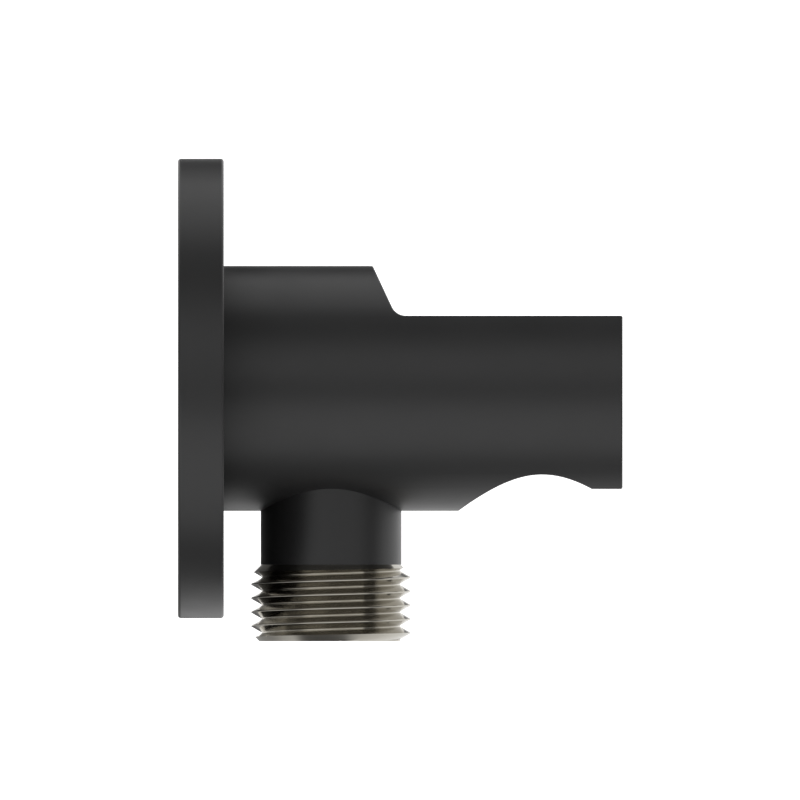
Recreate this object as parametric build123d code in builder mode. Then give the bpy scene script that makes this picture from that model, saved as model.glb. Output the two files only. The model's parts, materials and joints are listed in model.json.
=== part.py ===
"""Wall outlet elbow for a hand shower, with a handset holder milled from the same body.

The frame: X runs out of the wall, Z is up, and the origin is the centre of the flange's back, on the wall's
surface. Water comes in at the back along X, turns down the neck and leaves through the threaded outlet.
All sizes are in millimetres.
"""

from build123d import *

import os
from math import radians, sqrt, tan

# Body: a round bar that stands out of the wall
body_diameter = 32.0
edge_radius = 0.25

# Wall flange: a loose disc that slides onto the back of the body
flange_diameter = 60.0
flange_thickness = 6.0
flange_skin = 2.4
flange_rim_width = 2.2
flange_hub_wall = 3.0
flange_edge_radius = 0.4
flange_clearance = 0.1
gasket_width = 5.5
gasket_setback = 0.1
gasket_clearance = 0.1

# Spigot: the back of the body, which the flange runs on
spigot_wall = 3.0
spigot_setback = 0.5

# Rubber rings: the grooves, how much of a groove's width its ring fills, and the gap to each squeezing wall
ring_groove_width = 2.0
ring_groove_depth = 1.3
ring_fill = 0.75
seal_gap = 0.03

# Inlet and outlet threads are both G 1/2, with this crest diameter and depth
pipe_thread_diameter = 20.955
pipe_thread_depth = 1.162
inlet_thread_length = 10.5
inlet_chamfer = 0.8
washer_thickness = 2.0
washer_clearance = 0.2

# Waterway: drilled blind from the back, then down through the neck
passage_diameter = 13.0
passage_overrun = 0.5
drill_point_angle = 118.0
drop_diameter = 12.0

# Neck: the stub that turns the water down. The nipple's thread stands out past it by the shoulder
neck_distance = 20.0
neck_length = 23.0
neck_shoulder = 1.28
neck_wall = 1.15
neck_thread_clearance = 0.05

# Outlet nipple: screwed up into the neck, with the hose thread below it
nipple_spigot_length = 11.0
nipple_end_gap = 0.3
nipple_wall = 1.75
nipple_groove_position = 2.2
outlet_length = 10.0
outlet_chamfer = 1.1
hex_ledge = 1.25
hex_depth = 5.0

# Check valve: a cartridge that is pushed up into the nipple from below
cartridge_clearance = 0.1
cartridge_rim_width = 1.0
cartridge_rim_thickness = 1.2
valve_wall = 1.05
valve_seat_width = 1.3
valve_seat_thickness = 3.0
valve_groove_width = 1.6
valve_groove_depth = 0.95
valve_lip_width = 0.35
valve_lip_thickness = 0.6

# Plunger: it rides in the housing with a flow gap round its disc, and its cap centres it in the seat
valve_travel = 2.5
valve_flow_gap = 0.7
seal_thickness = 1.0
cap_clearance = 0.4
cap_thickness = 0.9
cap_overhang = 0.7
disc_thickness = 0.8
stem_diameter = 2.4
stem_clearance = 0.08
stem_end_margin = 0.2

# Spring and guide
spring_wire = 0.45
spring_clearance = 0.25
spring_turns = 4
guide_hub_wall = 1.1
guide_hub_height = 3.2
guide_hub_rise = 2.4
guide_ring_wall = 0.75
guide_spokes = 3
guide_spoke_width = 1.2
guide_spoke_height = 1.6

# Handset holder: a step down to a flat, and a tapered socket that is open at the front
holder_flat_height = 9.5
holder_land = 7.05
step_lean = 25.0
step_fillet = 2.0
socket_edge_wall = 0.84
socket_taper = 0.1
socket_web = 5.6
jaw_overlap = 3.23
jaw_length = 10.5

# Cutting tools pass this far beyond the surface that they open
overcut = 1.0

# Worked-out sizes of the body, the flange and the inlet
body_radius = body_diameter / 2
thread_radius = pipe_thread_diameter / 2
spigot_radius = thread_radius + spigot_wall
flange_radius = flange_diameter / 2
flange_bore_radius = spigot_radius + flange_clearance
flange_hub_radius = flange_bore_radius + flange_hub_wall
flange_recess_radius = flange_radius - flange_rim_width
flange_recess_depth = flange_thickness - flange_skin
spigot_groove_middle = (spigot_setback + flange_thickness) / 2
spigot_groove_radius = spigot_radius - ring_groove_depth
inlet_floor = spigot_setback + inlet_thread_length
washer_pocket_radius = thread_radius - pipe_thread_depth
washer_floor = inlet_floor + washer_thickness
passage_radius = passage_diameter / 2
passage_end = neck_distance + drop_diameter / 2 + passage_overrun
passage_tip = passage_end + passage_radius / tan(radians(drill_point_angle / 2))

# Worked-out sizes of the neck and the nipple
neck_radius = thread_radius - neck_shoulder
neck_bore_radius = neck_radius - neck_wall
nipple_spigot_radius = neck_bore_radius - neck_thread_clearance
nipple_top = nipple_spigot_length - neck_length
nipple_groove_middle = nipple_top - nipple_groove_position
nipple_groove_radius = nipple_spigot_radius - ring_groove_depth
outlet_end = -neck_length - outlet_length

# Worked-out sizes of the check valve
cartridge_radius = nipple_spigot_radius - nipple_wall
housing_top = nipple_top - hex_depth
housing_radius = cartridge_radius - cartridge_clearance
chamber_radius = housing_radius - valve_wall
rim_radius = housing_radius + cartridge_rim_width
rim_top = outlet_end + cartridge_rim_thickness
seat_radius = chamber_radius - valve_seat_width
seat_face = housing_top - valve_seat_thickness
valve_groove_middle = (housing_top + seat_face) / 2
valve_groove_radius = housing_radius - valve_groove_depth
lip_top = outlet_end + valve_lip_thickness
disc_radius = chamber_radius - valve_flow_gap
seal_bottom = seat_face - seal_thickness
disc_bottom = seal_bottom - disc_thickness
cap_radius = seat_radius - cap_clearance
core_radius = cap_radius - cap_overhang
stem_radius = stem_diameter / 2
stem_bottom = outlet_end + stem_end_margin + valve_travel
stem_bore_radius = stem_radius + stem_clearance
hub_bottom = lip_top + guide_hub_rise
hub_top = hub_bottom + guide_hub_height
hub_radius = stem_bore_radius + guide_hub_wall
guide_radius = chamber_radius - seal_gap

# Worked-out sizes of the holder
flat_half_width = sqrt(body_radius**2 - holder_flat_height**2)
socket_top_radius = flat_half_width - socket_edge_wall
socket_radius_at_axis = socket_top_radius - socket_taper / 2 * holder_flat_height
socket_distance = passage_tip + socket_web + socket_radius_at_axis
slot_width = 2 * (socket_top_radius - jaw_overlap)
projection = socket_distance + jaw_length
holder_flat_start = socket_distance - socket_top_radius - holder_land

x_axis = Axis((0, 0, 0), (1, 0, 0))
neck_axis = Axis((neck_distance, 0, 0), (0, 0, 1))
socket_axis = Axis((socket_distance, 0, 0), (0, 0, 1))


def ring_section(groove_width, inner_radius, outer_radius, rotation):
    """Draws the oval section of a squeezed rubber ring. Unrotated, its groove's width lies along X."""
    length = ring_fill * groove_width
    thickness = outer_radius - inner_radius - 2 * seal_gap
    Ellipse(length / 2, thickness / 2, rotation)


os.makedirs("parts", exist_ok=True)

# Elbow body: the turned blank with its spigot, then the holder, the neck and the waterways
with BuildPart() as elbow_body:
    with BuildSketch(Plane.XZ):
        with BuildLine():
            Polyline(
                (spigot_setback, 0),
                (spigot_setback, spigot_radius),
                (spigot_groove_middle - ring_groove_width / 2, spigot_radius),
                (spigot_groove_middle - ring_groove_width / 2, spigot_groove_radius),
                (spigot_groove_middle + ring_groove_width / 2, spigot_groove_radius),
                (spigot_groove_middle + ring_groove_width / 2, spigot_radius),
                (flange_thickness, spigot_radius),
                (flange_thickness, body_radius),
                (projection, body_radius),
                (projection, 0),
                close=True,
            )
        make_face()
    revolve(axis=x_axis)

    # The step: a leaning face that runs into the holder's flat through a fillet
    step_rise = body_radius + overcut - holder_flat_height
    step_run = step_rise * tan(radians(step_lean))
    with BuildSketch(Plane.XZ):
        with BuildLine():
            Polyline(
                (holder_flat_start - step_run, holder_flat_height + step_rise),
                (holder_flat_start, holder_flat_height),
                (projection + overcut, holder_flat_height),
                (projection + overcut, holder_flat_height + step_rise),
                close=True,
            )
        make_face()
        step_foot = vertices().sort_by(Axis.X)[1]
        fillet(step_foot, radius=step_fillet)
    extrude(amount=body_radius + overcut, both=True, mode=Mode.SUBTRACT)

    # The tapered socket for the handset's cone
    socket_bottom = -body_radius - overcut
    socket_bottom_radius = socket_radius_at_axis + socket_taper / 2 * socket_bottom
    socket_mouth = body_radius + overcut
    socket_mouth_radius = socket_radius_at_axis + socket_taper / 2 * socket_mouth
    with BuildSketch(Plane.XZ):
        with BuildLine():
            Polyline(
                (socket_distance, socket_bottom),
                (socket_distance + socket_bottom_radius, socket_bottom),
                (socket_distance + socket_mouth_radius, socket_mouth),
                (socket_distance, socket_mouth),
                close=True,
            )
        make_face()
    revolve(axis=socket_axis, mode=Mode.SUBTRACT)

    # The slot that the hose passes through, out of the front
    with BuildSketch(Plane.XY.offset(socket_bottom)):
        with Locations((socket_distance, 0)):
            Rectangle(jaw_length + overcut, slot_width, align=(Align.MIN, Align.CENTER))
    extrude(amount=socket_mouth - socket_bottom, mode=Mode.SUBTRACT)

    # Every sharp edge of the holder is broken, and the seams of the step's fillet are left as they are
    holder_edges = edges().filter_by_position(Axis.X, holder_flat_start - step_run, projection)
    step_seams = holder_edges.filter_by(Axis.Y).filter_by_position(
        Axis.X, holder_flat_start - step_run, holder_flat_start + step_fillet
    )
    fillet(holder_edges.filter_by(lambda edge: edge not in step_seams), radius=edge_radius)

    # The neck
    with BuildSketch(Plane.XY):
        with Locations((neck_distance, 0)):
            Circle(neck_radius)
    extrude(amount=-neck_length)

    # The inlet: its thread, the washer's pocket and the blind passage with its drill point
    with BuildSketch(Plane.XZ):
        with BuildLine():
            Polyline(
                (spigot_setback, 0),
                (spigot_setback, thread_radius + inlet_chamfer),
                (spigot_setback + inlet_chamfer, thread_radius),
                (inlet_floor, thread_radius),
                (inlet_floor, washer_pocket_radius),
                (washer_floor, washer_pocket_radius),
                (washer_floor, passage_radius),
                (passage_end, passage_radius),
                (passage_tip, 0),
                close=True,
            )
        make_face()
    revolve(axis=x_axis, mode=Mode.SUBTRACT)

    # The way down through the neck, and the bore that takes the nipple
    with BuildSketch(Plane.XY):
        with Locations((neck_distance, 0)):
            Circle(drop_diameter / 2)
    extrude(amount=-neck_length, mode=Mode.SUBTRACT)
    with BuildSketch(Plane.XY.offset(-neck_length)):
        with Locations((neck_distance, 0)):
            Circle(neck_bore_radius)
    extrude(amount=nipple_spigot_length + nipple_end_gap, mode=Mode.SUBTRACT)
elbow_body.part.label = "elbow_body"
export_step(elbow_body.part, "parts/elbow_body.step")

# Wall flange: a disc with a hollow back, whose hub runs on the spigot
with BuildPart() as wall_flange:
    with BuildSketch(Plane.XZ):
        with BuildLine():
            Polyline(
                (spigot_setback, flange_bore_radius),
                (spigot_setback, flange_hub_radius),
                (flange_recess_depth, flange_hub_radius),
                (flange_recess_depth, flange_recess_radius),
                (0, flange_recess_radius),
                (0, flange_radius),
                (flange_thickness, flange_radius),
                (flange_thickness, flange_bore_radius),
                close=True,
            )
        make_face()
        fillet(vertices().group_by(Axis.Y)[-1], radius=flange_edge_radius)
    revolve(axis=x_axis)
wall_flange.part.label = "wall_flange"
export_step(wall_flange.part, "parts/wall_flange.step")

# Wall gasket: a flat foam ring in the flange's back, which seals against the tiles
gasket_radius = flange_recess_radius - gasket_clearance
with BuildPart() as wall_gasket:
    with BuildSketch(Plane.YZ.offset(gasket_setback)):
        Circle(gasket_radius)
        Circle(gasket_radius - gasket_width, mode=Mode.SUBTRACT)
    extrude(amount=flange_recess_depth - gasket_setback)
wall_gasket.part.label = "wall_gasket"
export_step(wall_gasket.part, "parts/wall_gasket.step")

# Flange ring: holds the flange on the spigot by friction
with BuildPart() as flange_o_ring:
    with BuildSketch(Plane.XZ):
        with Locations((spigot_groove_middle, (spigot_groove_radius + flange_bore_radius) / 2)):
            ring_section(ring_groove_width, spigot_groove_radius, flange_bore_radius, rotation=0)
    revolve(axis=x_axis)
flange_o_ring.part.label = "flange_o_ring"
export_step(flange_o_ring.part, "parts/flange_o_ring.step")

# Inlet washer: seals the wall's own nipple at the bottom of the inlet thread
with BuildPart() as inlet_washer:
    with BuildSketch(Plane.YZ.offset(inlet_floor)):
        Circle(washer_pocket_radius - washer_clearance)
        Circle(passage_radius, mode=Mode.SUBTRACT)
    extrude(amount=washer_thickness)
inlet_washer.part.label = "inlet_washer"
export_step(inlet_washer.part, "parts/inlet_washer.step")

# Outlet nipple: its spigot and ring groove, the hose thread, the cartridge's bore and a hexagon for the key
with BuildPart() as outlet_nipple:
    with BuildSketch(Plane.XZ):
        with BuildLine():
            Polyline(
                (neck_distance, nipple_top),
                (neck_distance + nipple_spigot_radius, nipple_top),
                (neck_distance + nipple_spigot_radius, nipple_groove_middle + ring_groove_width / 2),
                (neck_distance + nipple_groove_radius, nipple_groove_middle + ring_groove_width / 2),
                (neck_distance + nipple_groove_radius, nipple_groove_middle - ring_groove_width / 2),
                (neck_distance + nipple_spigot_radius, nipple_groove_middle - ring_groove_width / 2),
                (neck_distance + nipple_spigot_radius, -neck_length),
                (neck_distance + neck_radius, -neck_length),
                (neck_distance + thread_radius, -neck_length - neck_shoulder),
                (neck_distance + thread_radius, outlet_end + outlet_chamfer),
                (neck_distance + thread_radius - outlet_chamfer, outlet_end),
                (neck_distance + rim_radius + cartridge_clearance, outlet_end),
                (neck_distance + rim_radius + cartridge_clearance, rim_top),
                (neck_distance + cartridge_radius, rim_top),
                (neck_distance + cartridge_radius, housing_top),
                (neck_distance, housing_top),
                close=True,
            )
        make_face()
    revolve(axis=neck_axis)
    with BuildSketch(Plane.XY.offset(housing_top)):
        with Locations((neck_distance, 0)):
            RegularPolygon(radius=cartridge_radius - hex_ledge, side_count=6, major_radius=False)
    extrude(amount=hex_depth, mode=Mode.SUBTRACT)
outlet_nipple.part.label = "outlet_nipple"
export_step(outlet_nipple.part, "parts/outlet_nipple.step")

# Nipple ring: seals the nipple's spigot in the neck
with BuildPart() as nipple_o_ring:
    with BuildSketch(Plane.XZ):
        with Locations((neck_distance + (nipple_groove_radius + neck_bore_radius) / 2, nipple_groove_middle)):
            ring_section(ring_groove_width, nipple_groove_radius, neck_bore_radius, rotation=90)
    revolve(axis=neck_axis)
nipple_o_ring.part.label = "nipple_o_ring"
export_step(nipple_o_ring.part, "parts/nipple_o_ring.step")

# Valve housing: a barrel with the seat at its top, a ring groove, and a rim that lies in the nipple's end
with BuildPart() as valve_housing:
    with BuildSketch(Plane.XZ):
        with BuildLine():
            Polyline(
                (neck_distance + seat_radius, housing_top),
                (neck_distance + housing_radius, housing_top),
                (neck_distance + housing_radius, valve_groove_middle + valve_groove_width / 2),
                (neck_distance + valve_groove_radius, valve_groove_middle + valve_groove_width / 2),
                (neck_distance + valve_groove_radius, valve_groove_middle - valve_groove_width / 2),
                (neck_distance + housing_radius, valve_groove_middle - valve_groove_width / 2),
                (neck_distance + housing_radius, rim_top),
                (neck_distance + rim_radius, rim_top),
                (neck_distance + rim_radius, outlet_end),
                (neck_distance + chamber_radius - valve_lip_width, outlet_end),
                (neck_distance + chamber_radius - valve_lip_width, lip_top),
                (neck_distance + chamber_radius, lip_top),
                (neck_distance + chamber_radius, seat_face),
                (neck_distance + seat_radius, seat_face),
                close=True,
            )
        make_face()
    revolve(axis=neck_axis)
valve_housing.part.label = "valve_housing"
export_step(valve_housing.part, "parts/valve_housing.step")

# Valve ring: seals the cartridge in the nipple
with BuildPart() as valve_o_ring:
    with BuildSketch(Plane.XZ):
        with Locations((neck_distance + (valve_groove_radius + cartridge_radius) / 2, valve_groove_middle)):
            ring_section(valve_groove_width, valve_groove_radius, cartridge_radius, rotation=90)
    revolve(axis=neck_axis)
valve_o_ring.part.label = "valve_o_ring"
export_step(valve_o_ring.part, "parts/valve_o_ring.step")

# Valve plunger: cap, core for the seal, disc and guide stem
with BuildPart() as valve_plunger:
    with BuildSketch(Plane.XZ):
        with BuildLine():
            Polyline(
                (neck_distance, seat_face + cap_thickness),
                (neck_distance + core_radius, seat_face + cap_thickness),
                (neck_distance + cap_radius, seat_face),
                (neck_distance + core_radius, seat_face),
                (neck_distance + core_radius, seal_bottom),
                (neck_distance + disc_radius, seal_bottom),
                (neck_distance + disc_radius, disc_bottom),
                (neck_distance + stem_radius, disc_bottom),
                (neck_distance + stem_radius, stem_bottom),
                (neck_distance, stem_bottom),
                close=True,
            )
        make_face()
    revolve(axis=neck_axis)
valve_plunger.part.label = "valve_plunger"
export_step(valve_plunger.part, "parts/valve_plunger.step")

# Valve seal: the flat rubber ring on the plunger's core, which closes on the seat
with BuildPart() as valve_seal:
    with BuildSketch(Plane.XY.offset(seal_bottom)):
        with Locations((neck_distance, 0)):
            Circle(disc_radius)
            Circle(core_radius + seal_gap, mode=Mode.SUBTRACT)
    extrude(amount=seal_thickness - seal_gap)
valve_seal.part.label = "valve_seal"
export_step(valve_seal.part, "parts/valve_seal.step")

# Valve spring: a round wire wound about the stem, between the plunger's disc and the guide's hub
spring_radius = stem_radius + spring_clearance + spring_wire / 2
coil_bottom = hub_top + spring_wire / 2 + seal_gap
coil_top = disc_bottom - spring_wire / 2 - seal_gap
with BuildPart() as valve_spring:
    with BuildLine():
        coil = Helix(
            pitch=(coil_top - coil_bottom) / spring_turns,
            height=coil_top - coil_bottom,
            radius=spring_radius,
            center=(neck_distance, 0, coil_bottom),
        )
    with BuildSketch(Plane(origin=coil @ 0, z_dir=coil % 0)):
        Circle(spring_wire / 2)
    sweep(path=coil, is_frenet=True)
valve_spring.part.label = "valve_spring"
export_step(valve_spring.part, "parts/valve_spring.step")

# Valve guide: a ring that snaps in above the housing's lip, with spokes that carry the stem's hub
with BuildPart() as valve_guide:
    with BuildSketch(Plane.XY.offset(lip_top)):
        with Locations((neck_distance, 0)):
            Circle(guide_radius)
            Circle(guide_radius - guide_ring_wall, mode=Mode.SUBTRACT)
    extrude(amount=hub_bottom + guide_spoke_height - lip_top)
    with BuildSketch(Plane.XY.offset(hub_bottom)):
        with Locations((neck_distance, 0)):
            Circle(hub_radius)
    extrude(amount=guide_hub_height)
    with BuildSketch(Plane.XY.offset(hub_bottom)):
        with Locations((neck_distance, 0)):
            with PolarLocations(0, guide_spokes):
                Rectangle(
                    guide_radius - guide_ring_wall / 2,
                    guide_spoke_width,
                    align=(Align.MIN, Align.CENTER),
                )
    extrude(amount=guide_spoke_height)
    with BuildSketch(Plane.XY.offset(hub_bottom)):
        with Locations((neck_distance, 0)):
            Circle(stem_bore_radius)
    extrude(amount=guide_hub_height, mode=Mode.SUBTRACT)
valve_guide.part.label = "valve_guide"
export_step(valve_guide.part, "parts/valve_guide.step")
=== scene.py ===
"""Finishes, threads and studio for a shower's wall outlet elbow.

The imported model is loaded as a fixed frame, and its pieces get their finishes here. Three things are modelled
as surfaces worked out with numpy: the threaded outlet nipple, the thread inside the inlet and the check
valve's wound spring. X runs out of the wall, Z is up, and all lengths are in metres.
"""

import json
import math

import bmesh
import bpy
import numpy as np
from bpy.props import FloatProperty, FloatVectorProperty, IntProperty, PointerProperty
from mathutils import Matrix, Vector


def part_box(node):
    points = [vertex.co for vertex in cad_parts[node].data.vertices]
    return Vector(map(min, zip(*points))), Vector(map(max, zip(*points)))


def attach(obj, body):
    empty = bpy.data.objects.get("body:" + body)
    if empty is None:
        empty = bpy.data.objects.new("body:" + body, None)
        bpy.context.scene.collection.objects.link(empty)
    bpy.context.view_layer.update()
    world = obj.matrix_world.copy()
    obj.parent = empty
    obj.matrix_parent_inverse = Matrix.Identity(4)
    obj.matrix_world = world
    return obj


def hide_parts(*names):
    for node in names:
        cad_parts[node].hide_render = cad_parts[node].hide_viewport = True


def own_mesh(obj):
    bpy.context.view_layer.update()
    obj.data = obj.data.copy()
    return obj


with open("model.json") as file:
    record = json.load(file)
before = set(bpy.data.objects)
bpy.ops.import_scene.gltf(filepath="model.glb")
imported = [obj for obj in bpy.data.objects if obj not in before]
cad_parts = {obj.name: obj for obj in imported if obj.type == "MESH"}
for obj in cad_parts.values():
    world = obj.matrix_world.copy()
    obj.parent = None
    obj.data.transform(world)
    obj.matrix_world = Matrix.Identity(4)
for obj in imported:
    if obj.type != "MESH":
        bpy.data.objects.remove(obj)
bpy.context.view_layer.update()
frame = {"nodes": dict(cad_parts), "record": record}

bl_info = {
    "name": "Wall Outlet Elbow",
    "version": (1, 0, 0),
    "blender": (4, 5, 0),
    "location": "View3D > Sidebar > Elbow",
    "description": "Dresses the model of a shower's wall outlet elbow and sets it in a pale studio",
    "category": "Object",
}

MM = 0.001
TURN = 2 * math.pi

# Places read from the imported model
MOUNTS = {mount["name"]: mount for mount in frame["record"]["mounts"]}
NIPPLE_LOW, NIPPLE_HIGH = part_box("outlet_nipple")
INLET_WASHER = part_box("inlet_washer")
NECK_X = MOUNTS["outlet"]["pos_m"][0]
NECK_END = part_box("elbow_body")[0].z
THREAD_RADIUS = MOUNTS["outlet"]["dims"]["r_mm"] * MM
INLET_RADIUS = MOUNTS["inlet"]["dims"]["r_mm"] * MM
INLET_LENGTH = MOUNTS["inlet"]["dims"]["length_mm"] * MM

# Way that the tool travels in one turn of the brass
BRASS_FEED = 0.11 * MM


def half_width(node):
    """Half the width of a round node that stands about the neck's axis."""
    low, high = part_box(node)
    return (high.x - low.x) / 2


class ELBOW_PG_finish(bpy.types.PropertyGroup):
    """Colours and finishes of the elbow's materials."""

    coating_colour: FloatVectorProperty(
        name="Coating colour",
        description="Colour of the matt black coating",
        subtype="COLOR",
        min=0,
        max=1,
        default=(0.016, 0.016, 0.0165),
    )
    coating_roughness: FloatProperty(
        name="Coating roughness",
        description="How matt the black coating is",
        min=0,
        max=1,
        default=0.40,
    )
    coating_grain: FloatProperty(
        name="Coating grain",
        description="Width of the coating's fine pebbles",
        unit="LENGTH",
        default=0.16 * MM,
    )
    brass_colour: FloatVectorProperty(
        name="Brass colour",
        description="Colour of the bare brass inside the waterways",
        subtype="COLOR",
        min=0,
        max=1,
        default=(0.69, 0.50, 0.23),
    )
    plating_colour: FloatVectorProperty(
        name="Plating colour",
        description="Colour of the bright plating on the hose thread",
        subtype="COLOR",
        min=0,
        max=1,
        default=(0.44, 0.42, 0.373),
    )
    plating_roughness: FloatProperty(
        name="Plating roughness",
        description="How dull the bright plating is",
        min=0,
        max=1,
        default=0.11,
    )
    rubber_colour: FloatVectorProperty(
        name="Rubber colour",
        description="Colour of the rings, the washer and the valve's seal",
        subtype="COLOR",
        min=0,
        max=1,
        default=(0.012, 0.012, 0.012),
    )
    foam_colour: FloatVectorProperty(
        name="Foam colour",
        description="Colour of the wall gasket",
        subtype="COLOR",
        min=0,
        max=1,
        default=(0.05, 0.05, 0.052),
    )
    plastic_colour: FloatVectorProperty(
        name="Plastic colour",
        description="Colour of the check valve's moulded parts",
        subtype="COLOR",
        min=0,
        max=1,
        default=(0.72, 0.72, 0.69),
    )
    steel_colour: FloatVectorProperty(
        name="Spring colour",
        description="Colour of the spring's steel wire",
        subtype="COLOR",
        min=0,
        max=1,
        default=(0.56, 0.55, 0.53),
    )


class ELBOW_PG_threads(bpy.types.PropertyGroup):
    """Sizes of the threads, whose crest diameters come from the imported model."""

    pipe_pitch: FloatProperty(
        name="Pipe pitch",
        description="Distance between two crests of the G 1/2 threads",
        unit="LENGTH",
        default=1.8143 * MM,
    )
    half_angle: FloatProperty(
        name="Half angle",
        description="Half the angle between the hose thread's walls",
        subtype="ANGLE",
        default=math.radians(29.5),
    )
    crest_round: FloatProperty(
        name="Crest rounding",
        description="Radius of the hose thread's crests",
        unit="LENGTH",
        default=0.115 * MM,
    )
    root_round: FloatProperty(
        name="Root rounding",
        description="Radius of the hose thread's roots",
        unit="LENGTH",
        default=0.095 * MM,
    )
    inlet_angle: FloatProperty(
        name="Inlet half angle",
        description="Half the angle between the inlet thread's walls",
        subtype="ANGLE",
        default=math.radians(27.5),
    )
    inlet_round: FloatProperty(
        name="Inlet rounding",
        description="Radius of the inlet thread's crests and roots",
        unit="LENGTH",
        default=0.249 * MM,
    )
    crest_height: FloatProperty(
        name="Crest height",
        description="Height of one crest of the hose thread on the side away from the wall",
        unit="LENGTH",
        default=-24.64 * MM,
    )
    fine_pitch: FloatProperty(
        name="Fine pitch",
        description="Distance between two crests of the thread that holds the nipple in the neck",
        unit="LENGTH",
        default=1.0 * MM,
    )
    steps_round: IntProperty(
        name="Steps round",
        description="Steps in one turn of a thread, a multiple of six so that the hexagon keeps its corners",
        min=24,
        default=192,
    )


class ELBOW_PG_spring(bpy.types.PropertyGroup):
    """Sizes of the check valve's spring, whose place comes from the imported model."""

    wire: FloatProperty(
        name="Wire",
        description="Thickness of the spring's wire",
        unit="LENGTH",
        default=0.45 * MM,
    )
    open_turns: IntProperty(
        name="Open turns",
        description="Turns of the spring that stand apart",
        min=1,
        default=4,
    )
    wire_gap: FloatProperty(
        name="Gap",
        description="Distance from the spring's ends to what they press on",
        unit="LENGTH",
        default=0.03 * MM,
    )


class ELBOW_PG_studio(bpy.types.PropertyGroup):
    """Sizes and light levels of the studio, where a level of 1 is white."""

    floor_height: FloatProperty(
        name="Floor height",
        description="Height of the floor, below the bottom of the picture",
        unit="LENGTH",
        default=-0.062,
    )
    front_level: FloatProperty(
        name="Front level",
        description="Light level of the soft screen in front, above the camera's height",
        min=0,
        default=0.98,
    )
    middle_level: FloatProperty(
        name="Middle level",
        description="Light level in front at the camera's height, below the screen",
        min=0,
        default=0.16,
    )
    high_level: FloatProperty(
        name="High level",
        description="Light level of the room between the screen and the lamp overhead",
        min=0,
        default=0.18,
    )
    dark_level: FloatProperty(
        name="Dark level",
        description="Light level of the dark gaps on either side of the screen",
        min=0,
        default=0.12,
    )
    back_level: FloatProperty(
        name="Back level",
        description="Light level of the room high behind the object, and of the strip between the walls",
        min=0,
        default=0.04,
    )
    side_level: FloatProperty(
        name="Side level",
        description="Light level of the white walls beside and behind the object",
        min=0,
        default=1.10,
    )
    overhead_power: FloatProperty(
        name="Overhead power",
        description="Power of the soft lamp above the object",
        unit="POWER",
        min=0,
        default=2.1,
    )
    floor_glow: FloatProperty(
        name="Floor glow",
        description="Light that the floor adds to what it reflects, for the camera",
        min=0,
        default=0.62,
    )
    pixels_per_mm: FloatProperty(
        name="Pixels per mm",
        description="Scale of the picture, whose side is 800 pixels",
        min=1,
        default=7.66,
    )


def segment(start, end, steps):
    """Points on a straight run, with its end left out: start + (end - start) * k / steps."""
    share = np.arange(steps)[:, None] / steps
    return np.asarray(start) + (np.asarray(end) - np.asarray(start)) * share


def outline(corners, steps=1):
    """Straight pieces through the corners, each cut into the same steps, with the last corner left out."""
    return np.vstack([segment(a, b, steps) for a, b in zip(corners[:-1], corners[1:])])


def thread_section(pitch, crest_round, root_round, half_angle, steps):
    """One pitch of a V-thread with rounded crest and root, as shares of the pitch and heights above the root.

    The V's walls lean by half_angle, so it is half the pitch over the angle's tangent high. An arc of radius
    r that touches both walls has its centre r over the angle's sine from their corner. Its points lie at
    tilts t from the axis' normal, at r sin t along the axis and r cos t outwards, up to a right angle less
    half_angle.
    """
    sharp = pitch / 2 / math.tan(half_angle)
    lean = math.sin(half_angle)
    tilt = np.linspace(0, math.pi / 2 - half_angle, steps + 1)
    crest_share = crest_round * np.sin(tilt) / pitch
    crest_height = sharp - crest_round / lean + crest_round * np.cos(tilt)
    root_share = 0.5 - root_round * np.sin(tilt[::-1]) / pitch
    root_height = root_round / lean - root_round * np.cos(tilt[::-1])
    # Places on the wall between the two arcs, as shares of its length
    wall = np.array([0.08, 0.5, 0.92])
    wall_share = crest_share[-1] + (root_share[0] - crest_share[-1]) * wall
    wall_height = crest_height[-1] + (root_height[0] - crest_height[-1]) * wall
    share = np.concatenate([crest_share, wall_share, root_share])
    height = np.concatenate([crest_height, wall_height, root_height]) - root_height[-1]
    return np.concatenate([-share[:0:-1], share]), np.concatenate([height[:0:-1], height])


def threaded_run(angle, start, end, pitch, crest, section):
    """Heights along a threaded stretch and the section's height at each, one row for each angle.

    Each column keeps its share of the pitch, and so follows the right-hand helix: it lies at the crest's
    place plus the pitch times its share and the angle's share of a turn. Places are kept between start and
    end, where several columns then meet in one point.
    """
    low, high = min(start, end), max(start, end)
    first = math.floor((low - crest) / pitch) - 1
    turns = first + np.arange(math.ceil((high - low) / pitch) + 3)
    share = (turns[:, None] + section[0][None, :-1]).ravel()
    place = crest + pitch * (share[None, :] + angle[:, None] / TURN)
    place = np.clip(place, low, high)
    share = (place - crest) / pitch - angle[:, None] / TURN
    ridge = np.interp(share - np.round(share), *section)
    if end < start:
        return place[:, ::-1], ridge[:, ::-1]
    return place, ridge


def trim(place, radius, limit):
    """Keeps the radius below a limit, and moves the nearest column onto each point where the two cross.

    Between two columns the difference d from the limit runs in a straight line, so it is nought at the share
    d1 / (d1 - d2) of the way.
    """
    over = radius - limit
    rows, columns = np.nonzero(over[:, :-1] * over[:, 1:] < 0)
    share = over[rows, columns] / (over[rows, columns] - over[rows, columns + 1])
    crossing_place = place[rows, columns] + share * (place[rows, columns + 1] - place[rows, columns])
    crossing_radius = radius[rows, columns] + share * (radius[rows, columns + 1] - radius[rows, columns])
    radius = np.minimum(radius, limit)
    nearest = columns + (share > 0.5)
    place[rows, nearest] = crossing_place
    radius[rows, nearest] = crossing_radius
    return place, radius


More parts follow.
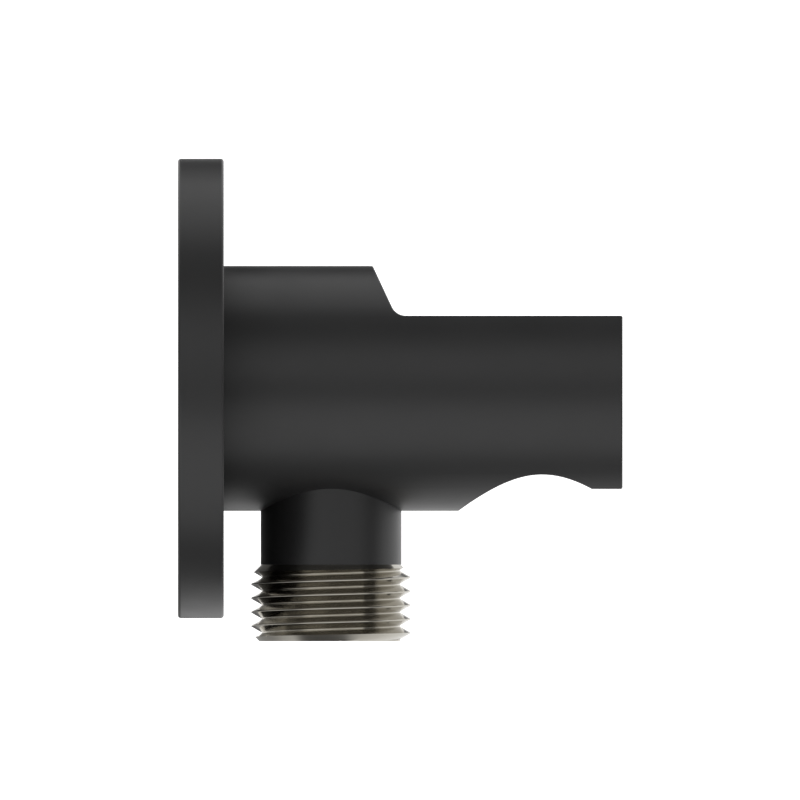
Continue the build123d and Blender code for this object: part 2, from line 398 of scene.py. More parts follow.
def solid_from_grid(name, points):
    """A closed mesh from a grid of points: the first index runs round, the second along a closed section.

    Points that meet are merged, which joins a ring's first row to its last, closes a row that shrinks to a
    point and removes the faces that have no area. The faces are turned over where the volume, a sixth of the
    sum of each triangle's triple product, is negative.
    """
    merge_distance = 1e-7
    sharp_angle = math.radians(38)
    rows, columns = points.shape[:2]
    index = np.arange(rows * columns).reshape(rows, columns)
    near, far = index[:-1], index[1:]
    quads = np.stack([near, far, np.roll(far, -1, axis=1), np.roll(near, -1, axis=1)], axis=-1)
    mesh = bpy.data.meshes.new(name)
    mesh.from_pydata(points.reshape(-1, 3), [], quads.reshape(-1, 4))
    work = bmesh.new()
    work.from_mesh(mesh)
    bmesh.ops.remove_doubles(work, verts=work.verts, dist=merge_distance)
    bmesh.ops.dissolve_degenerate(work, edges=work.edges, dist=merge_distance)
    if work.calc_volume(signed=True) < 0:
        bmesh.ops.reverse_faces(work, faces=work.faces)
    work.to_mesh(mesh)
    work.free()
    mesh.shade_smooth()
    mesh.set_sharp_from_angle(angle=sharp_angle)
    made = bpy.data.objects.new(name, mesh)
    bpy.context.scene.collection.objects.link(made)
    return made


def round_about_neck(angle, radius, height):
    """Points about the neck's axis: the axis plus radius times the angle's cosine and sine, at the height."""
    across = NECK_X + radius * np.cos(angle)[:, None]
    depth = radius * np.sin(angle)[:, None]
    return np.stack([across, depth, height], axis=-1)


def every_angle(profile, count):
    """The same profile at every angle, as an array of radii and one of heights."""
    radius = np.repeat(profile[None, :, 0], count, axis=0)
    height = np.repeat(profile[None, :, 1], count, axis=0)
    return radius, height


def spring_surface(low, high, sizes):
    """Grid points of the spring's wire, between the low and the high corner of the spring's box.

    The wire's middle goes round the neck's axis at the coil's radius. It climbs by its own thickness in the
    first turn and in the last, and evenly in the open turns between. The surface is the middle plus the
    wire's radius times cos t outwards and sin t along the cross product of the wire's direction and
    outwards. Both ends close in a point.
    """
    steps_per_turn, steps_round_wire = 40, 12
    wire = sizes.wire / 2
    coil = (high.x - low.x) / 2 - wire
    bottom = low.z + wire
    rise = high.z - low.z - 2 * wire
    turns = sizes.open_turns + 2
    turn = np.linspace(0, turns, turns * steps_per_turn + 1)
    closed_low = np.clip(turn, 0, 1) * sizes.wire
    closed_high = np.clip(turn - turns + 1, 0, 1) * sizes.wire
    open_rise = rise - 2 * sizes.wire
    height = bottom + closed_low + closed_high + np.clip(turn - 1, 0, turns - 2) / (turns - 2) * open_rise
    angle = turn * TURN
    middle = np.stack([NECK_X + coil * np.cos(angle), coil * np.sin(angle), height], axis=-1)
    outwards = np.stack([np.cos(angle), np.sin(angle), np.zeros_like(angle)], axis=-1)
    along = np.gradient(middle, axis=0)
    along /= np.linalg.norm(along, axis=1)[:, None]
    upwards = np.cross(along, outwards)
    tilt = np.linspace(0, TURN, steps_round_wire, endpoint=False)
    sides = outwards[:, None] * np.cos(tilt)[:, None] + upwards[:, None] * np.sin(tilt)[:, None]
    surface = middle[:, None] + wire * sides
    first = np.repeat(middle[:1, None], steps_round_wire, axis=1)
    last = np.repeat(middle[-1:, None], steps_round_wire, axis=1)
    return np.vstack([first, surface, last])


def new_group(name, inputs, outputs):
    """An empty shader node group. Inputs are (name, type, default), outputs are (name, type)."""
    group = bpy.data.node_groups.new(name, "ShaderNodeTree")
    for label, kind, default in inputs:
        socket = group.interface.new_socket(label, in_out="INPUT", socket_type=kind)
        socket.default_value = default
    for label, kind in outputs:
        group.interface.new_socket(label, in_out="OUTPUT", socket_type=kind)
    group.nodes.new("NodeGroupInput")
    group.nodes.new("NodeGroupOutput")
    return group


def feed(tree, socket, value):
    """Links a socket to the value where that is a socket too, and otherwise sets it."""
    if isinstance(value, bpy.types.NodeSocket):
        tree.links.new(value, socket)
    else:
        socket.default_value = value


def add(tree, kind, **settings):
    """A new node with its settings.

    A name that isn't the node's own is an input socket's, with its spaces as underscores, or i and a number
    for the socket in that place. A socket takes a number or a link.
    """
    node = tree.nodes.new(kind)
    for key, value in settings.items():
        if hasattr(node, key):
            setattr(node, key, value)
        else:
            socket = node.inputs[int(key[1:])] if key[1:].isdigit() else node.inputs[key.replace("_", " ")]
            feed(tree, socket, value)
    return node


def math_node(tree, operation, first, second=0.0, third=0.0):
    """The result of a Math node on values or sockets."""
    return add(tree, "ShaderNodeMath", operation=operation, i0=first, i1=second, i2=third).outputs[0]


def vector_node(tree, operation, first, second=(0, 0, 0), output=0):
    """The result of a Vector Math node on vectors or sockets."""
    return add(tree, "ShaderNodeVectorMath", operation=operation, i0=first, i1=second).outputs[output]


def build_grain_group():
    """Fine pebbles: a noise of the given size as a height, and a much broader one as a mask around a half."""
    breadth = 50
    group = new_group(
        "Fine grain",
        [("Position", "NodeSocketVector", (0, 0, 0)), ("Size", "NodeSocketFloat", MM)],
        [("Height", "NodeSocketFloat"), ("Mask", "NodeSocketFloat")],
    )
    entry, leave = group.nodes["Group Input"], group.nodes["Group Output"]
    per_metre = math_node(group, "DIVIDE", 1.0, entry.outputs["Size"])
    fine = add(group, "ShaderNodeTexNoise", Vector=entry.outputs["Position"], Scale=per_metre, Detail=2.0)
    broad_scale = math_node(group, "MULTIPLY", per_metre, 1 / breadth)
    broad = add(group, "ShaderNodeTexNoise", Vector=entry.outputs["Position"], Scale=broad_scale, Detail=3.0)
    group.links.new(fine.outputs["Fac"], leave.inputs["Height"])
    group.links.new(broad.outputs["Fac"], leave.inputs["Mask"])
    return group


def along_and_outwards(group):
    """Distances of a group's Position from its Centre: along its Axis, and outwards from the axis."""
    entry = group.nodes["Group Input"]
    offset = vector_node(group, "SUBTRACT", entry.outputs["Position"], entry.outputs["Centre"])
    along = vector_node(group, "DOT_PRODUCT", offset, entry.outputs["Axis"], output=1)
    outwards = vector_node(group, "CROSS_PRODUCT", offset, entry.outputs["Axis"])
    return along, vector_node(group, "LENGTH", outwards, output=1)


def build_turning_group():
    """Marks of a lathe tool: a noise of the distance along the axis plus outwards, in steps of the feed."""
    group = new_group(
        "Turning marks",
        [
            ("Position", "NodeSocketVector", (0, 0, 0)),
            ("Centre", "NodeSocketVector", (0, 0, 0)),
            ("Axis", "NodeSocketVector", (1, 0, 0)),
            ("Feed", "NodeSocketFloat", MM),
        ],
        [("Height", "NodeSocketFloat")],
    )
    entry, leave = group.nodes["Group Input"], group.nodes["Group Output"]
    along, radius = along_and_outwards(group)
    travel = math_node(group, "ADD", along, radius)
    steps = math_node(group, "DIVIDE", travel, entry.outputs["Feed"])
    marks = add(group, "ShaderNodeTexNoise", noise_dimensions="1D", W=steps, Scale=1.0, Detail=2.0)
    group.links.new(marks.outputs["Fac"], leave.inputs["Height"])
    return group


def build_near_axis_group():
    """A mask that is 1 within a radius of an axis and below an end along it, and 0 elsewhere."""
    group = new_group(
        "Near axis",
        [
            ("Position", "NodeSocketVector", (0, 0, 0)),
            ("Centre", "NodeSocketVector", (0, 0, 0)),
            ("Axis", "NodeSocketVector", (1, 0, 0)),
            ("Radius", "NodeSocketFloat", MM),
            ("End", "NodeSocketFloat", MM),
        ],
        [("Mask", "NodeSocketFloat")],
    )
    entry, leave = group.nodes["Group Input"], group.nodes["Group Output"]
    along, radius = along_and_outwards(group)
    inside = math_node(group, "LESS_THAN", radius, entry.outputs["Radius"])
    before = math_node(group, "LESS_THAN", along, entry.outputs["End"])
    group.links.new(math_node(group, "MULTIPLY", inside, before), leave.inputs["Mask"])
    return group


def shared(name):
    """A shared node group by its name, built the first time that it is asked for."""
    builders = {
        "Fine grain": build_grain_group,
        "Turning marks": build_turning_group,
        "Near axis": build_near_axis_group,
    }
    return bpy.data.node_groups.get(name) or builders[name]()


def use_group(tree, name, **settings):
    """A shared group placed in a material, with its own values."""
    node = tree.nodes.new("ShaderNodeGroup")
    node.node_tree = shared(name)
    for key, value in settings.items():
        feed(tree, node.inputs[key], value)
    return node


def new_material(name, colour, metallic=0.0):
    """A material of one colour: the material, its tree, its shader and the object's coordinates."""
    material = bpy.data.materials.new(name)
    material.use_nodes = True
    tree = material.node_tree
    shader = tree.nodes["Principled BSDF"]
    shader.inputs["Base Color"].default_value = (*colour, 1)
    shader.inputs["Metallic"].default_value = metallic
    place = tree.nodes.new("ShaderNodeTexCoord").outputs["Object"]
    return material, tree, shader, place


def bump(tree, shader, height, depth):
    """Feeds a height into the shader's normal, where a height of 1 stands for the given depth."""
    node = add(tree, "ShaderNodeBump", Height=height, Distance=depth, Strength=1.0)
    tree.links.new(node.outputs["Normal"], shader.inputs["Normal"])


def spread(tree, value, low, high):
    """A noise's value, which stays around a half, spread between low and high."""
    noise_low, noise_high = 0.3, 0.7
    node = add(tree, "ShaderNodeMapRange", Value=value, i1=noise_low, i2=noise_high, i3=low, i4=high)
    return node.outputs["Result"]


def grained(tree, shader, place, size, low, high):
    """Spreads the roughness from low to high with pebbles of the given size, and gives their height."""
    grain = use_group(tree, "Fine grain", Position=place, Size=size)
    tree.links.new(spread(tree, grain.outputs["Mask"], low, high), shader.inputs["Roughness"])
    return grain.outputs["Height"]


def coated_material(name, settings, bare_places=()):
    """Matt black coating with fine pebbles, and bare turned brass at the places that stay uncoated.

    A bare place is the inside of a cylinder: a point and the direction of its axis, its radius, and how far
    it reaches along the axis.
    """
    variation, brass_polish, mark_height = 0.025, 0.18, 2.0
    material, tree, shader, place = new_material(name, settings.coating_colour)
    grain = use_group(tree, "Fine grain", Position=place, Size=settings.coating_grain)
    dull = settings.coating_roughness
    roughness = spread(tree, grain.outputs["Mask"], dull - variation, dull + variation)
    height = grain.outputs["Height"]
    if bare_places:
        bare = 0.0
        for centre, axis, radius, end in bare_places:
            sizes = {"Centre": centre, "Axis": axis, "Radius": radius, "End": end}
            inside = use_group(tree, "Near axis", Position=place, **sizes)
            bare = math_node(tree, "MAXIMUM", inside.outputs["Mask"], bare)
        colour = add(tree, "ShaderNodeMix", data_type="RGBA")
        tree.links.new(bare, colour.inputs["Factor"])
        for label, value in (("A", settings.coating_colour), ("B", settings.brass_colour)):
            socket = next(each for each in colour.inputs if each.name == label and each.type == "RGBA")
            socket.default_value = (*value, 1)
        mixed = next(each for each in colour.outputs if each.type == "RGBA")
        tree.links.new(mixed, shader.inputs["Base Color"])
        tree.links.new(bare, shader.inputs["Metallic"])
        roughness = math_node(tree, "MULTIPLY_ADD", bare, -brass_polish, roughness)
        marks = use_group(tree, "Turning marks", Position=place, Feed=BRASS_FEED)
        bare_marks = math_node(tree, "MULTIPLY", bare, marks.outputs["Height"])
        height = math_node(tree, "MULTIPLY_ADD", bare_marks, mark_height, height)
    tree.links.new(roughness, shader.inputs["Roughness"])
    bump(tree, shader, height, depth=0.004 * MM)
    return material


def plated_material(settings):
    """Bright nickel and chrome plating over turned brass, with the faint marks of the tool."""
    material, tree, shader, place = new_material("Bright plating", settings.plating_colour, metallic=1.0)
    dull = settings.plating_roughness
    grained(tree, shader, place, size=0.2 * MM, low=dull - 0.03, high=dull + 0.04)
    neck_axis = {"Centre": (NECK_X, 0, 0), "Axis": (0, 0, 1)}
    marks = use_group(tree, "Turning marks", Position=place, Feed=0.09 * MM, **neck_axis)
    bump(tree, shader, marks.outputs["Height"], depth=0.002 * MM)
    return material


def brass_material(settings):
    """Bare brass of the inlet's thread, with the marks of the tool that cut it."""
    material, tree, shader, place = new_material("Turned brass", settings.brass_colour, metallic=1.0)
    grained(tree, shader, place, size=0.2 * MM, low=0.2, high=0.28)
    marks = use_group(tree, "Turning marks", Position=place, Feed=BRASS_FEED)
    bump(tree, shader, marks.outputs["Height"], depth=0.003 * MM)
    return material


def soft_material(name, colour, roughness, grain_size, grain_depth):
    """Rubber or foam: one matt colour, with pebbles of the given size and depth."""
    variation = 0.08
    material, tree, shader, place = new_material(name, colour)
    shader.inputs["Specular IOR Level"].default_value = 0.35
    height = grained(tree, shader, place, grain_size, roughness - variation, roughness + variation)
    bump(tree, shader, height, grain_depth)
    return material


def plastic_material(settings):
    """Moulded plastic of the check valve: pale and satin, with a little light inside and a fine grain."""
    material, tree, shader, place = new_material("Valve plastic", settings.plastic_colour)
    shader.inputs["Subsurface Weight"].default_value = 0.15
    shader.inputs["Subsurface Scale"].default_value = 0.4 * MM
    height = grained(tree, shader, place, size=0.07 * MM, low=0.36, high=0.46)
    bump(tree, shader, height, depth=0.002 * MM)
    return material


def steel_material(settings):
    """Drawn spring steel: bright, with the faint dull bands that coiling leaves."""
    material, tree, shader, place = new_material("Spring steel", settings.steel_colour, metallic=1.0)
    height = grained(tree, shader, place, size=0.05 * MM, low=0.2, high=0.32)
    bump(tree, shader, height, depth=0.001 * MM)
    return material


def dress(node, material):
    """Gives a CAD node its material, in every slot of its object."""
    piece = frame["nodes"][node]
    if not piece.material_slots:
        piece.data.materials.append(material)
    for slot in piece.material_slots:
        slot.material = material


def place_piece(piece, material, replaced=None):
    """Gives a new piece its material, seats it on the elbow and hides the node that it replaces."""
    piece.data.materials.append(material)
    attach(piece, "elbow")
    if replaced:
        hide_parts(replaced)


class ELBOW_OT_black_parts(bpy.types.Operator):
    """Coats the body and the flange in matt black, and leaves the body's waterways bare brass"""

    bl_idname = "elbow.black_parts"
    bl_label = "Black Parts"

    def execute(self, context):
        settings = context.scene.elbow_finish
        along_bar, up_neck = (1, 0, 0), (0, 0, 1)
        inlet_chamfer = INLET_RADIUS + 1.2 * MM
        washer_seat = INLET_WASHER[1].x + 0.01 * MM
        # The passage is as wide as the washer's hole, which takes just under this share of the washer
        passage = INLET_WASHER[1].z * 0.72
        drill_point = NECK_X + 11.5 * MM
        neck_bore = half_width("nipple_o_ring") + 0.05 * MM
        neck_top = -0.1 * MM
        bare_places = (
            ((0, 0, 0), along_bar, inlet_chamfer, washer_seat),
            ((0, 0, 0), along_bar, passage, drill_point),
            ((NECK_X, 0, 0), up_neck, neck_bore, neck_top),
        )
        dress("elbow_body", coated_material("Black coating, bare waterways", settings, bare_places))
        dress("wall_flange", coated_material("Black coating", settings))
        return {"FINISHED"}


class ELBOW_OT_outlet_nipple(bpy.types.Operator):
    """Builds the outlet nipple with its hose thread, its fine thread, its ring groove and its hexagon"""

    bl_idname = "elbow.outlet_nipple"
    bl_label = "Outlet Nipple"

    def execute(self, context):
        sizes = context.scene.elbow_threads
        count = sizes.steps_round
        angle = np.linspace(0, TURN, count + 1)
        bottom, top = NIPPLE_LOW.z, NIPPLE_HIGH.z
        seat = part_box("valve_housing")[1].z

        # Radii
        spigot = half_width("nipple_o_ring") - 0.02 * MM
        groove = spigot - 1.3 * MM
        neck = THREAD_RADIUS - 1.28 * MM
        chamfer = THREAD_RADIUS - 1.1 * MM
        rim = half_width("valve_housing") + 0.1 * MM
        bore = half_width("valve_o_ring") + 0.03 * MM
        hexagon = bore - 1.25 * MM
        key_entry = hexagon + 1.0 * MM
        edge = 0.15 * MM

        # Heights
        rim_top = bottom + 1.2 * MM
        groove_top = top - 1.2 * MM
        groove_bottom = groove_top - 2.0 * MM
        fine_top = groove_bottom - 0.5 * MM

        upper = outline(
            [
                (key_entry, top),
                (spigot - edge, top),
                (spigot, top - edge),
                (spigot, groove_top),
                (groove, groove_top),
                (groove, groove_bottom),
                (spigot, groove_bottom),
                (spigot, fine_top),
            ]
        )
        upper_radius, upper_height = every_angle(upper, count + 1)

        fine = thread_section(
            pitch=sizes.fine_pitch,
            crest_round=0.1 * MM,
            root_round=0.12 * MM,
            half_angle=math.radians(30),
            steps=2,
        )
        fine_height, fine_ridge = threaded_run(
            angle, fine_top, NECK_END, sizes.fine_pitch, crest=0.0, section=fine
        )
        fine_root = spigot - fine[1].max()
        lead = fine_root + (fine_top - fine_height)
        fine_height, fine_radius = trim(fine_height, fine_root + fine_ridge, lead)
        run_out_slope = 0.6
        run_out = fine_root + (fine_height - NECK_END) * run_out_slope
        fine_height, fine_radius = trim(fine_height, fine_radius, run_out)

        hose = thread_section(
            sizes.pipe_pitch, sizes.crest_round, sizes.root_round, sizes.half_angle, steps=4
        )
        hose_height, hose_ridge = threaded_run(
            angle, NECK_END, bottom, sizes.pipe_pitch, sizes.crest_height, hose
        )
        hose_radius = THREAD_RADIUS - hose[1].max() + hose_ridge
        shoulder = neck + (NECK_END - hose_height)
        hose_height, hose_radius = trim(hose_height, hose_radius, shoulder)
        tip = chamfer + (hose_height - bottom)
        hose_height, hose_radius = trim(hose_height, hose_radius, tip)

        lower = outline([(rim, bottom), (rim, rim_top), (bore, rim_top), (bore, seat)])
        lower_radius, lower_height = every_angle(lower, count + 1)

        # The hexagon's wall lies at its half width over the cosine of the angle to the nearest flat's middle
        hexagon_steps = 5
        to_flat = np.mod(angle, TURN / 6) - TURN / 12
        hexagon_radius = hexagon / np.cos(to_flat)
        hexagon_height = np.linspace(seat, top, hexagon_steps)
        radius = np.hstack(
            [
                upper_radius,
                fine_radius,
                hose_radius,
                lower_radius,
                np.full((count + 1, 1), bore),
                np.repeat(hexagon_radius[:, None], hexagon_steps, axis=1),
            ]
        )
        height = np.hstack(
            [
                upper_height,
                fine_height,
                hose_height,
                lower_height,
                np.full((count + 1, 1), seat),
                np.repeat(hexagon_height[None, :], count + 1, axis=0),
            ]
        )
        nipple = solid_from_grid("threaded_outlet_nipple", round_about_neck(angle, radius, height))
        plating = plated_material(context.scene.elbow_finish)
        place_piece(nipple, plating, "outlet_nipple")
        return {"FINISHED"}


class ELBOW_OT_inlet_thread(bpy.types.Operator):
    """Builds the G 1/2 thread inside the inlet, as a ring whose ridges point inwards"""

    bl_idname = "elbow.inlet_thread"
    bl_label = "Inlet Thread"

    def execute(self, context):
        sizes = context.scene.elbow_threads
        angle = np.linspace(0, TURN, sizes.steps_round + 1)
        end = INLET_WASHER[0].x
        start = end - INLET_LENGTH

        # The ring's outside is sunk in the bore's wall, and the thread's roots stand as far out of the wall
        sunk = 0.05 * MM
        root, outside = INLET_RADIUS - sunk, INLET_RADIUS + sunk
        section = thread_section(
            sizes.pipe_pitch, sizes.inlet_round, sizes.inlet_round, sizes.inlet_angle, steps=3
        )
        depth, ridge = threaded_run(angle, start, end, sizes.pipe_pitch, crest=start, section=section)

        # Both ends taper to the root. trim keeps a value below its limit, and these radii have to stay above
        # theirs, so both go in with their signs changed
        inner = ridge - root
        depth, inner = trim(depth, inner, (end - depth) - root)
        depth, inner = trim(depth, inner, (depth - start) - root)
        wall = outline([(outside, end), (outside, start)], steps=8)
        wall_radius, wall_depth = every_angle(np.vstack([wall, (outside, start)]), len(angle))
        radius = np.hstack([-inner, wall_radius])
        along = np.hstack([depth, wall_depth])
        across = radius * np.cos(angle)[:, None]
        up = radius * np.sin(angle)[:, None]
        thread = solid_from_grid("inlet_thread", np.stack([along, across, up], axis=-1))
        place_piece(thread, brass_material(context.scene.elbow_finish))
        return {"FINISHED"}


class ELBOW_OT_check_valve(bpy.types.Operator):
    """Finishes the check valve's moulded parts and winds its spring"""

    bl_idname = "elbow.check_valve"
    bl_label = "Check Valve"

    def execute(self, context):
        finish = context.scene.elbow_finish
        sizes = context.scene.elbow_spring
        plastic = plastic_material(finish)
        for node in ("valve_housing", "valve_plunger", "valve_guide"):
            dress(node, plastic)

        low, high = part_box("valve_spring")
        spring = solid_from_grid("wound_valve_spring", spring_surface(low, high, sizes))
        place_piece(spring, steel_material(finish), "valve_spring")
        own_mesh(spring)
        return {"FINISHED"}


class ELBOW_OT_seals(bpy.types.Operator):
    """Finishes the rubber rings, the washer, the valve's seal and the foam gasket"""

    bl_idname = "elbow.seals"
    bl_label = "Seals"

    def execute(self, context):
        finish = context.scene.elbow_finish
        rubber = soft_material(
            "Black rubber", finish.rubber_colour, roughness=0.55, grain_size=0.12 * MM, grain_depth=0.004 * MM
        )
        for node in ("flange_o_ring", "inlet_washer", "nipple_o_ring", "valve_o_ring", "valve_seal"):
            dress(node, rubber)
        foam = soft_material(
            "Grey foam", finish.foam_colour, roughness=0.85, grain_size=0.5 * MM, grain_depth=0.12 * MM
        )
        dress("wall_gasket", foam)
        return {"FINISHED"}


def flat_piece(name, corners):
    """A flat four-cornered piece of the stage."""
    mesh = bpy.data.meshes.new(name)
    mesh.from_pydata(corners, [], [(0, 1, 2, 3)])
    made = bpy.data.objects.new(name, mesh)
    bpy.context.scene.collection.objects.link(made)
    return made


def smooth_step(tree, value, low, high):
    """A value's soft rise from 0 to 1 between low and high, or its fall where low is the larger."""
    node = tree.nodes.new("ShaderNodeMapRange")
    node.interpolation_type = "SMOOTHSTEP"
    tree.links.new(value, node.inputs["Value"])
    if low > high:
        low, high, bottom, top = high, low, 1.0, 0.0
    else:
        bottom, top = 0.0, 1.0
    for key, level in (("From Min", low), ("From Max", high), ("To Min", bottom), ("To Max", top)):
        node.inputs[key].default_value = level
    return node.outputs["Result"]


def blend_levels(tree, share, first, second):
    """first where the share is 0 and second where it is 1: first + share * (second - first)."""
    difference = math_node(tree, "SUBTRACT", second, first)
    return math_node(tree, "MULTIPLY_ADD", share, difference, first)


def azimuth_cosine(tree, axes):
    """Cosine of a direction's azimuth from the front, -Y, worked out from its X and Y."""
    across = math_node(tree, "MULTIPLY", axes.outputs["X"], axes.outputs["X"])
    squared = math_node(tree, "MULTIPLY_ADD", axes.outputs["Y"], axes.outputs["Y"], across)
    above_nought = 1e-5
    length = math_node(tree, "MAXIMUM", math_node(tree, "SQRT", squared), above_nought)
    return math_node(tree, "DIVIDE", math_node(tree, "MULTIPLY", axes.outputs["Y"], -1.0), length)


def product(tree, first, *others):
    """The product of several values."""
    for other in others:
        first = math_node(tree, "MULTIPLY", first, other)
    return first


def screen_mask(tree, axes):
    """1 where a bright screen stands in front, and 0 past it.

    It stands up to about 56 degrees to the right of the front, and fades from 35 to 55 degrees on the left.
    """
    cosine = azimuth_cosine(tree, axes)
    left = smooth_step(tree, cosine, 0.58, 0.82)
    right = smooth_step(tree, cosine, 0.52, 0.59)
    return blend_levels(tree, math_node(tree, "GREATER_THAN", axes.outputs["X"], 0.0), left, right)


def floor_material(settings):
    """Pale floor that keeps the object's shadow, shines for the camera and is clear from below.

    In reflections only, light is painted on it as glowing patches: bright in front and on the left, white
    behind, and a faint glow shaped like a pale card on the neck's right. In reflections only, painted shade
    darkens it in a spot under the neck and in a strip far behind the flange. Places are measured from the
    neck's axis, to the right and backwards.
    """
    pale, painted_shade_level = 0.50, 0.19
    behind_glow, front_glow, painted_card_level, left_glow = 0.76, 0.88, 0.16, 0.45
    material, tree, shader, place = new_material("Pale floor", (pale, pale, pale))
    shader.inputs["Roughness"].default_value = 0.9
    shader.inputs["Specular IOR Level"].default_value = 0.0
    shader.inputs["Emission Color"].default_value = (1, 1, 1, 1)
    path = tree.nodes.new("ShaderNodeLightPath")
    from_neck = vector_node(tree, "SUBTRACT", place, (NECK_X, 0, 0))
    axes = add(tree, "ShaderNodeSeparateXYZ", Vector=from_neck)
    across, depth = axes.outputs["X"], axes.outputs["Y"]

    # The painted shadow spot, seen only in reflections, is an oval with its middle a little to the left of the
    # neck and in front of it
    from_spot = vector_node(tree, "ADD", from_neck, (3 * MM, 4 * MM, 0))
    oval = vector_node(tree, "MULTIPLY", from_spot, (0.9, 1.4, 0))
    painted_shadow_spot = smooth_step(tree, vector_node(tree, "LENGTH", oval, output=1), 18 * MM, 7 * MM)
    # Painted shade, seen only in reflections, in a strip far behind the flange
    strip = product(
        tree,
        smooth_step(tree, across, -20 * MM, -25 * MM),
        smooth_step(tree, across, -36 * MM, -31 * MM),
        smooth_step(tree, depth, 45 * MM, 60 * MM),
    )
    # Painted shade: for glossy rays only, the floor's colour darkens in the spot and in the strip
    painted_shade = math_node(tree, "MAXIMUM", painted_shadow_spot, strip)
    painted_shade = math_node(tree, "MULTIPLY", painted_shade, path.outputs["Is Glossy Ray"])
    tree.links.new(blend_levels(tree, painted_shade, pale, painted_shade_level), shader.inputs["Base Color"])

    # Painted light, seen only in reflections: glowing patches of floor behind the neck, in front, on the left
    # and, shaped like a pale card, on the neck's right
    nearer_right = smooth_step(tree, across, -12 * MM, 0.0)
    not_far = smooth_step(tree, depth, 120 * MM, 80 * MM)
    behind = product(
        tree,
        smooth_step(tree, depth, -24 * MM, 22 * MM),
        smooth_step(tree, painted_shadow_spot, 1.0, 0.0),
        math_node(tree, "MAXIMUM", nearer_right, not_far),
        smooth_step(tree, across, -32 * MM, -16 * MM),
    )
    left = product(
        tree,
        smooth_step(tree, across, -44 * MM, -66 * MM),
        smooth_step(tree, depth, 100 * MM, 40 * MM),
    )
    front = product(
        tree,
        smooth_step(tree, depth, -24 * MM, -46 * MM),
        smooth_step(tree, depth, -360 * MM, -240 * MM),
        screen_mask(tree, axes),
    )
    # Painted glow on the floor at the neck's right, in the shape of a pale card; no card stands there
    painted_card_glow = product(
        tree,
        smooth_step(tree, across, 6 * MM, 11 * MM),
        smooth_step(tree, depth, -14 * MM, -8 * MM),
        smooth_step(tree, depth, 12 * MM, -2 * MM),
    )
    glow = 0.0
    for patch, level in ((behind, behind_glow), (front, front_glow), (painted_card_glow, painted_card_level), (left, left_glow)):
        glow = math_node(tree, "MULTIPLY_ADD", patch, level, glow)
    glow = math_node(tree, "MULTIPLY", glow, path.outputs["Is Glossy Ray"])
    glow = math_node(tree, "MULTIPLY_ADD", path.outputs["Is Camera Ray"], settings.floor_glow, glow)
    tree.links.new(glow, shader.inputs["Emission Strength"])

    clear = tree.nodes.new("ShaderNodeBsdfTransparent")
    mix = tree.nodes.new("ShaderNodeMixShader")
    side = tree.nodes.new("ShaderNodeNewGeometry")
    tree.links.new(side.outputs["Backfacing"], mix.inputs[0])
    tree.links.new(shader.outputs[0], mix.inputs[1])
    tree.links.new(clear.outputs[0], mix.inputs[2])
    tree.links.new(mix.outputs[0], tree.nodes["Material Output"].inputs["Surface"])
    return material


def backdrop_material():
    """White backdrop for the camera and for reflections, and plain pale card for the light."""
    material, tree, shader, _ = new_material("White backdrop", (0.86, 0.86, 0.86))
    shader.inputs["Specular IOR Level"].default_value = 0.0
    shader.inputs["Emission Color"].default_value = (1, 1, 1, 1)
    path = tree.nodes.new("ShaderNodeLightPath")
    seen = math_node(tree, "MAXIMUM", path.outputs["Is Camera Ray"], path.outputs["Is Glossy Ray"])
    seen = math_node(tree, "MAXIMUM", seen, path.outputs["Is Transmission Ray"])
    tree.links.new(seen, shader.inputs["Emission Strength"])
    return material


def studio_world(settings):
    """White for the camera. For the object it is a soft screen in front and white walls at the sides.

    Each part is a smooth step of the direction. The screen starts a little above the camera's height and
    fades overhead, and the room below it is dark. A dark gap lies on either side of the screen, and the white
    walls stand from there round to the back, where a dark strip rises straight behind the object. The room
    above the walls is dark too.
    """
    world = bpy.data.worlds.new("Studio")
    world.use_nodes = True
    tree = world.node_tree
    direction = tree.nodes.new("ShaderNodeTexCoord").outputs["Generated"]
    axes = add(tree, "ShaderNodeSeparateXYZ", Vector=direction)
    cosine = azimuth_cosine(tree, axes)
    up = axes.outputs["Z"]
    screen_foot = smooth_step(tree, up, 0.06, 0.13)
    screen = blend_levels(tree, screen_foot, settings.middle_level, settings.front_level)
    overhead = smooth_step(tree, up, 0.50, 0.90)
    screen = blend_levels(tree, overhead, screen, settings.high_level)
    past_gap = smooth_step(tree, cosine, 0.25, 0.05)
    walls = blend_levels(tree, past_gap, settings.dark_level, settings.side_level)
    strip = product(tree, smooth_step(tree, cosine, -0.95, -0.992), smooth_step(tree, up, 0.17, 0.31))
    walls = blend_levels(tree, strip, walls, settings.back_level)
    rearwards = smooth_step(tree, axes.outputs["Y"], -0.1, 0.5)
    high = blend_levels(tree, rearwards, settings.high_level, settings.back_level)
    level = blend_levels(tree, screen_mask(tree, axes), walls, screen)
    above_walls = smooth_step(tree, up, 0.60, 0.85)
    level = blend_levels(tree, above_walls, level, high)
    path = tree.nodes.new("ShaderNodeLightPath")
    level = blend_levels(tree, path.outputs["Is Camera Ray"], level, 1.0)
    tree.nodes["Background"].inputs["Color"].default_value = (1, 1, 1, 1)
    tree.links.new(level, tree.nodes["Background"].inputs["Strength"])
    return world


def lamp(name, place, target, width, depth, power):
    """A soft rectangular lamp that points at a target and isn't seen by the camera."""
    data = bpy.data.lights.new(name, "AREA")
    data.shape = "RECTANGLE"
    data.size, data.size_y = width, depth
    data.energy = power
    made = bpy.data.objects.new(name, data)
    made.location = place
    made.rotation_euler = (target - place).to_track_quat("-Z", "Y").to_euler()
    made.visible_camera = False
    bpy.context.scene.collection.objects.link(made)


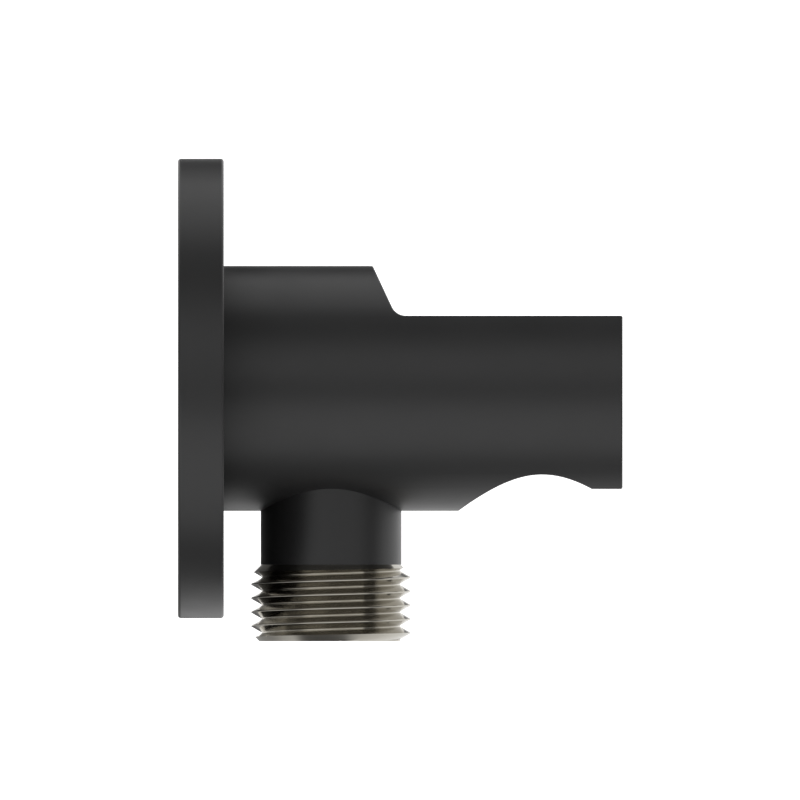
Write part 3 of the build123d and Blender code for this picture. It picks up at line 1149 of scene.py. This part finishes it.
class ELBOW_OT_studio(bpy.types.Operator):
    """Sets up the pale floor and backdrop, the soft lamp and the camera straight at the elbow's side"""

    bl_idname = "elbow.studio"
    bl_label = "Studio"

    def execute(self, context):
        settings = context.scene.elbow_studio
        scene = context.scene
        scene.view_settings.view_transform = "Standard"

        reach = 2.0
        level = settings.floor_height
        floor = flat_piece(
            "floor",
            [(-reach, -reach, level), (reach, -reach, level), (reach, reach, level), (-reach, reach, level)],
        )
        floor.data.materials.append(floor_material(settings))

        back, top = 0.6, 0.058
        backdrop = flat_piece(
            "backdrop",
            [(-reach, back, level), (reach, back, level), (reach, back, top), (-reach, back, top)],
        )
        backdrop.data.materials.append(backdrop_material())
        scene.world = studio_world(settings)

        above = Vector((0.03, 0.20, 0.60))
        below = Vector((above.x, above.y, 0))
        lamp("overhead", above, below, width=1.2, depth=0.62, power=settings.overhead_power)

        picture_side = 800
        picture_middle = Vector((29.00 * MM, 0, -1.51 * MM))
        camera_distance = 0.5
        data = bpy.data.cameras.new("camera")
        data.type = "ORTHO"
        data.ortho_scale = picture_side / settings.pixels_per_mm * MM
        camera = bpy.data.objects.new("camera", data)
        camera.location = picture_middle - Vector((0, camera_distance, 0))
        camera.rotation_euler = (math.radians(90), 0, 0)
        scene.collection.objects.link(camera)
        scene.camera = camera
        return {"FINISHED"}


class ELBOW_PT_sidebar(bpy.types.Panel):
    """Lists the elbow's settings and steps"""

    bl_label = "Wall Outlet Elbow"
    bl_idname = "ELBOW_PT_sidebar"
    bl_space_type = "VIEW_3D"
    bl_region_type = "UI"
    bl_category = "Elbow"

    def draw(self, context):
        for step in STEPS:
            self.layout.operator(step.bl_idname)
        for name in SETTINGS:
            group = getattr(context.scene, name)
            box = self.layout.box()
            for key in group.__annotations__:
                box.prop(group, key)


STEPS = (
    ELBOW_OT_black_parts,
    ELBOW_OT_outlet_nipple,
    ELBOW_OT_inlet_thread,
    ELBOW_OT_check_valve,
    ELBOW_OT_seals,
    ELBOW_OT_studio,
)
SETTINGS = {
    "elbow_finish": ELBOW_PG_finish,
    "elbow_threads": ELBOW_PG_threads,
    "elbow_spring": ELBOW_PG_spring,
    "elbow_studio": ELBOW_PG_studio,
}


def register():
    for kind in (*SETTINGS.values(), *STEPS, ELBOW_PT_sidebar):
        bpy.utils.register_class(kind)
    for name, kind in SETTINGS.items():
        setattr(bpy.types.Scene, name, PointerProperty(type=kind))


def unregister():
    for name in SETTINGS:
        delattr(bpy.types.Scene, name)
    for kind in (ELBOW_PT_sidebar, *reversed(STEPS), *reversed(SETTINGS.values())):
        bpy.utils.unregister_class(kind)


def main():
    """Registers the add-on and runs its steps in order."""
    register()
    for step in STEPS:
        family, name = step.bl_idname.split(".")
        getattr(getattr(bpy.ops, family), name)()


if __name__ == "__main__":
    main()
